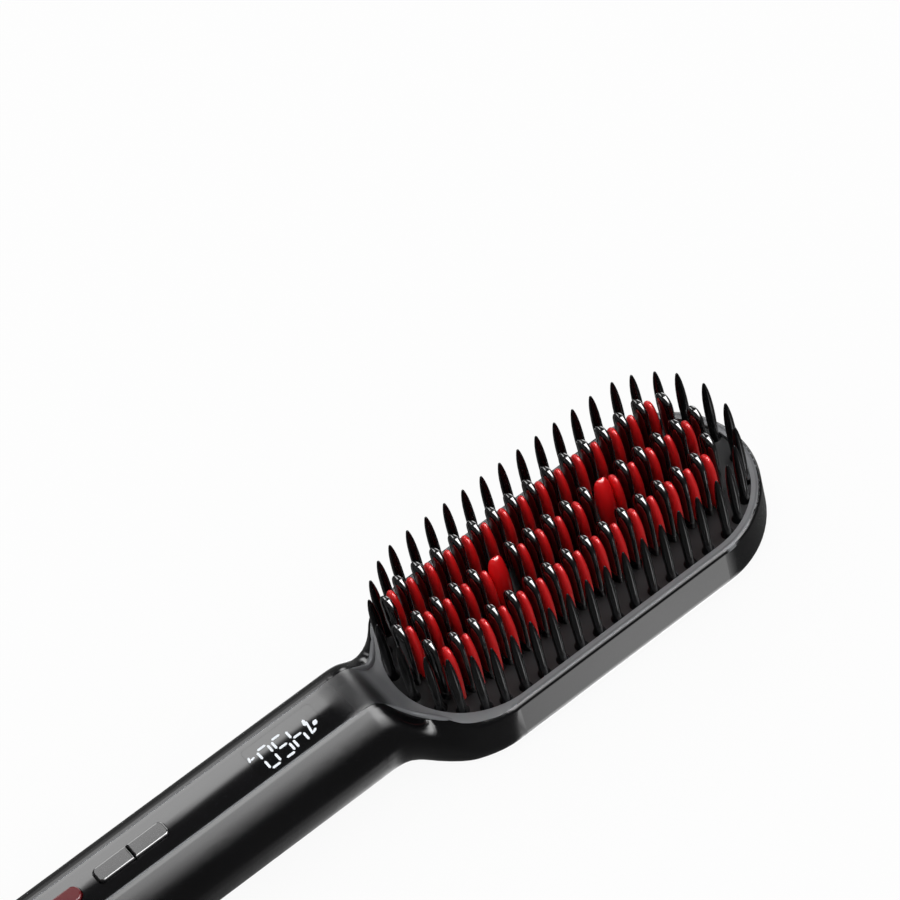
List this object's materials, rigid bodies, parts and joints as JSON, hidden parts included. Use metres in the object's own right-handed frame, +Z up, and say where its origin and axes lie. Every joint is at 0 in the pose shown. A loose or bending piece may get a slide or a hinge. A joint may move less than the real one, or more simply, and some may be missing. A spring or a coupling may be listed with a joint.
{
  "type": "hair straightening brush",
  "caption": "Heated straightening brush with a tube handle, control strip and a stadium-shaped head carrying guarded heating fins; mains lead coiled behind the tail",
  "frame": {"origin": "centre of the brush's box on the surface that it rests on, without the lead", "axes": "+X from the tail to the head's tip, +Y across, +Z up, out of the comb"},
  "size_m": [0.4306, 0.085, 0.0444],
  "materials": {
    "satin_black_shell": "satin moulded ABS",
    "gloss_black_cover": "polished",
    "red_accent": "painted",
    "grey_plate": "fine spark texture",
    "black_comb": "polished heat-proof nylon",
    "red_fins": "ceramic coated aluminium",
    "red_outlets": "polished",
    "silicone": "silicone",
    "heater_aluminium": "cast",
    "screw_steel": "zinc plated",
    "ptc_ceramic": "sintered",
    "mica": "pressed sheet",
    "sensor_glass": "sleeved bead",
    "fuse_metal": "drawn can",
    "lead_insulation": "silicone sleeve",
    "circuit_board": "solder mask",
    "component_black": "moulded",
    "smoked_window": "smoked polished",
    "terminal_plastic": "moulded nylon",
    "gloss_black_key": "polished",
    "dark_red_key": "polished",
    "black_nylon": "moulded nylon",
    "black_rubber": "moulded",
    "cord_pvc": "extruded PVC",
    "tie_fabric": "woven hook and loop",
    "plug_pvc": "moulded PVC",
    "blade_brass": "stamped"
  },
  "bodies": {
    "brush": {"rear_housing": "satin_black_shell", "front_cover": "gloss_black_cover", "tail_cap": "satin_black_shell", "accent_ring": "red_accent", "back_plate": "grey_plate", "comb_frame": "black_comb", "guard_teeth": "black_comb", "guard_arches": "black_comb", "heating_fins": "red_fins", "ion_outlets": "red_outlets", "comb_gasket": "silicone", "heater_plate": "heater_aluminium", "heater_screws": "screw_steel", "ptc_heaters": "ptc_ceramic", "mica_sheet": "mica", "heater_clamp": "heater_aluminium", "clamp_screws": "screw_steel", "thermistor": "sensor_glass", "thermal_fuse": "fuse_metal", "heater_leads": "lead_insulation", "main_board": "circuit_board", "power_parts": "component_black", "tact_switches": "component_black", "display_module": "component_black", "display_window": "smoked_window", "ion_generator": "component_black", "terminal_block": "terminal_plastic", "cord_root": "cord_pvc", "cord_stretch": "cord_pvc", "cord_coil": "cord_pvc", "cord_tie": "tie_fabric", "plug_body": "plug_pvc", "plug_blades": "blade_brass"},
    "temp_down": {"temp_down_button": "gloss_black_key"},
    "temp_up": {"temp_up_button": "gloss_black_key"},
    "power": {"power_button": "dark_red_key"},
    "swivel": {"swivel_bush": "black_nylon", "bend_guard": "black_rubber"}
  },
  "joints": [
    {"name": "temp_down_press", "type": "slide", "parent": "brush", "child": "temp_down", "axis": [0, 0, -1], "range_m": [0, 0.0006], "stiffness_N_per_m": 1500},
    {"name": "temp_up_press", "type": "slide", "parent": "brush", "child": "temp_up", "axis": [0, 0, -1], "range_m": [0, 0.0006], "stiffness_N_per_m": 1500},
    {"name": "power_press", "type": "slide", "parent": "brush", "child": "power", "axis": [0, 0, -1], "range_m": [0, 0.0006], "stiffness_N_per_m": 1500},
    {"name": "cord_swivel", "type": "hinge", "parent": "brush", "child": "swivel", "pos_m": [-0.1325, 0, 0.017], "axis": [-1, 0, 0], "continuous": true}
  ]
}
